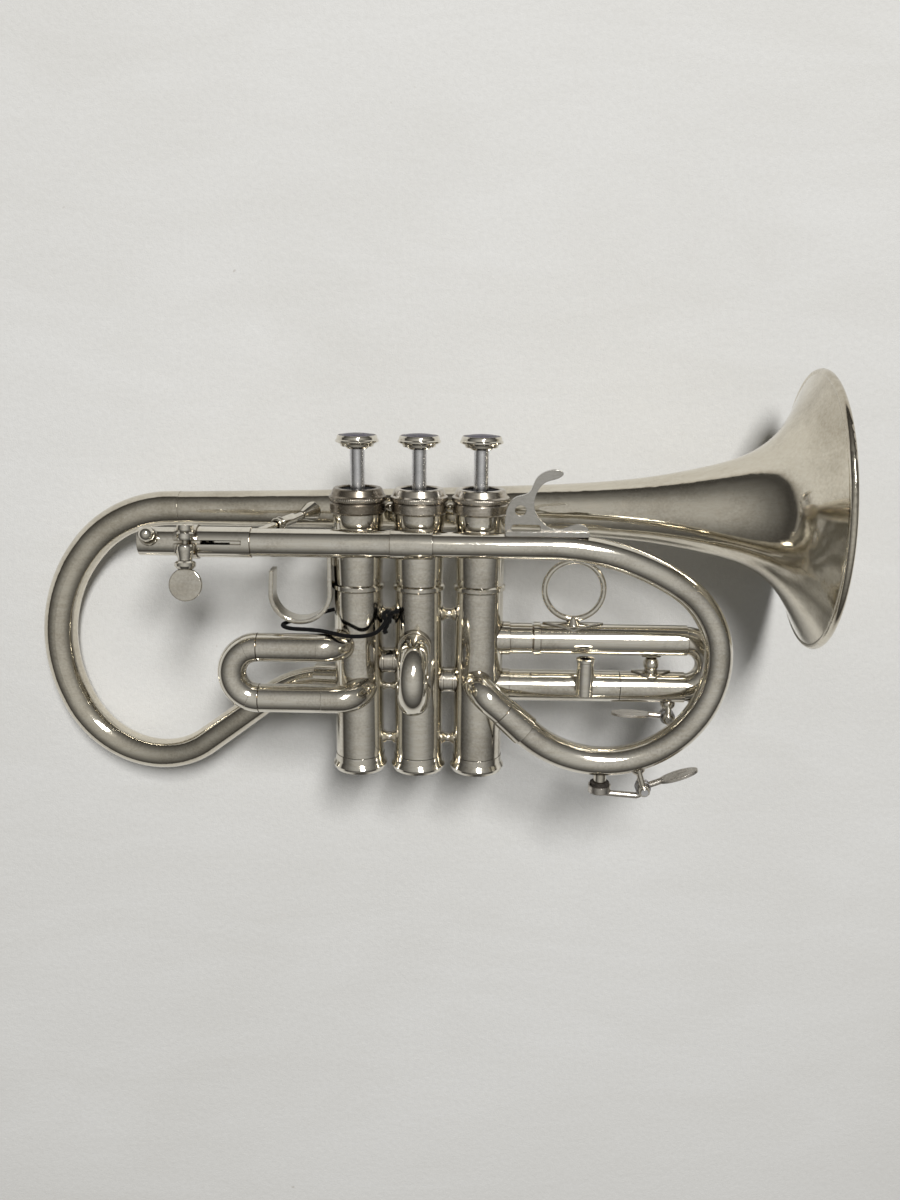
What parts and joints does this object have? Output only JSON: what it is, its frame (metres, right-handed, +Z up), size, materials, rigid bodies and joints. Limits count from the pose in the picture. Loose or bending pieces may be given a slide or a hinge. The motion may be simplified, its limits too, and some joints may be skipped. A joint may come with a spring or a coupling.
{
  "type": "soprano cornet",
  "caption": "Small piston-valve cornet laid on its side: conical brass tube folded round a valve block, flared bell, tuning slides, finger ring, water keys.",
  "frame": {"origin": "middle of the bottom face of the bounding box, on the surface the cornet lies on", "axes": "+X along the instrument towards the bell, +Y from the valve feet towards the finger buttons, +Z up as it lies at rest on its bell rim and crook"},
  "size_m": [0.34, 0.18, 0.1144],
  "materials": {
    "bell_silver": "silver plated, polished",
    "silver": "silver plated, polished",
    "cap_silver": "silver plated, tarnished in the knurling",
    "key_silver": "silver plated, dulled by handling",
    "nickel": "worn nickel plate",
    "steel": "drawn, satin",
    "spring_wire": "drawn wire",
    "guide_plastic": "moulded",
    "inlay": "polished",
    "felt": "felt",
    "cork": "blackened cork",
    "cord": "braided cord"
  },
  "bodies": {
    "horn": {"bell": "bell_silver", "bell_rim_wire": "bell_silver", "bell_bow": "bell_silver", "bow_end_ferrule": "silver", "leadpipe": "silver", "leadpipe_ferrule": "silver", "lead_loop": "silver", "valve_3_elbow": "silver", "lead_loop_ferrule": "silver", "mouthpipe_sleeve": "silver", "clamp_collar": "silver", "first_slide_legs": "silver", "second_slide_legs": "silver", "third_slide_legs": "silver", "lyre_socket": "silver", "valve_casing_1": "silver", "valve_casing_2": "silver", "valve_casing_3": "silver", "port_tubes": "silver", "casing_braces": "silver", "top_cap_1": "cap_silver", "foot_cap_1": "silver", "top_cap_2": "cap_silver", "foot_cap_2": "silver", "top_cap_3": "cap_silver", "foot_cap_3": "silver", "cap_felts": "felt", "valve_springs": "spring_wire", "spring_guides": "guide_plastic", "leadpipe_brace": "silver", "bell_braces": "silver", "pinky_hook": "nickel", "thumb_hook": "silver", "loop_key_saddle": "silver", "loop_key_screw": "steel", "loop_key_spring": "spring_wire", "tied_cord": "cord"},
    "valve_1": {"piston_1": "steel", "button_1": "silver", "button_inlay_1": "inlay"},
    "valve_2": {"piston_2": "steel", "button_2": "silver", "button_inlay_2": "inlay"},
    "valve_3": {"piston_3": "steel", "button_3": "silver", "button_inlay_3": "inlay"},
    "first_slide": {"first_slide_bow": "silver"},
    "second_slide": {"second_slide_bow": "silver"},
    "third_slide": {"third_slide_bow": "silver", "third_slide_brace": "silver", "finger_ring": "silver", "third_key_saddle": "silver", "third_key_screw": "steel", "third_key_spring": "spring_wire"},
    "receiver": {"mouthpiece_receiver": "silver"},
    "clamp_screw": {"clamp_screw": "silver"},
    "loop_key": {"loop_key_lever": "key_silver", "loop_key_cork": "cork"},
    "third_key": {"third_key_lever": "key_silver", "third_key_cork": "cork"}
  },
  "joints": [
    {"name": "valve_1_press", "type": "slide", "parent": "horn", "child": "valve_1", "axis": [0.0074, -0.9964, -0.0846], "range_m": [0, 0.0145], "stiffness_N_per_m": 140, "springref_m": -0.0145, "deforming": ["valve_springs"]},
    {"name": "valve_2_press", "type": "slide", "parent": "horn", "child": "valve_2", "axis": [0.0074, -0.9964, -0.0846], "range_m": [0, 0.0145], "stiffness_N_per_m": 140, "springref_m": -0.0145, "deforming": ["valve_springs"]},
    {"name": "valve_3_press", "type": "slide", "parent": "horn", "child": "valve_3", "axis": [0.0074, -0.9964, -0.0846], "range_m": [0, 0.0145], "stiffness_N_per_m": 140, "springref_m": -0.0145, "deforming": ["valve_springs"]},
    {"name": "first_slide_pull", "type": "slide", "parent": "horn", "child": "first_slide", "axis": [-0.9962, 0, -0.0876], "range_m": [0, 0.02]},
    {"name": "second_slide_pull", "type": "slide", "parent": "horn", "child": "second_slide", "axis": [-0.0873, -0.0849, 0.9926], "range_m": [0, 0.004]},
    {"name": "third_slide_pull", "type": "slide", "parent": "horn", "child": "third_slide", "axis": [0.9962, 0, 0.0876], "range_m": [0, 0.03]},
    {"name": "receiver_slide", "type": "slide", "parent": "horn", "child": "receiver", "axis": [-0.9962, 0, -0.0876], "range_m": [-0.004, 0.005]},
    {"name": "clamp_screw_turn", "type": "hinge", "parent": "horn", "child": "clamp_screw", "pos_m": [-0.0953, 0.01908, 0.07033], "axis": [0.0063, 0.9974, -0.0717], "continuous": true},
    {"name": "loop_key_press", "type": "hinge", "parent": "horn", "child": "loop_key", "pos_m": [0.08962, -0.0826, 0.07023], "axis": [-0.0873, -0.0849, 0.9926], "range_deg": [0, 10], "stiffness_Nm_per_rad": 0.02, "springref_deg": -28.65},
    {"name": "third_key_press", "type": "hinge", "parent": "third_slide", "child": "third_key", "pos_m": [0.10206, -0.05556, 0.05782], "axis": [0.0873, 0.0849, -0.9926], "range_deg": [0, 9], "stiffness_Nm_per_rad": 0.02, "springref_deg": -28.65}
  ]
}
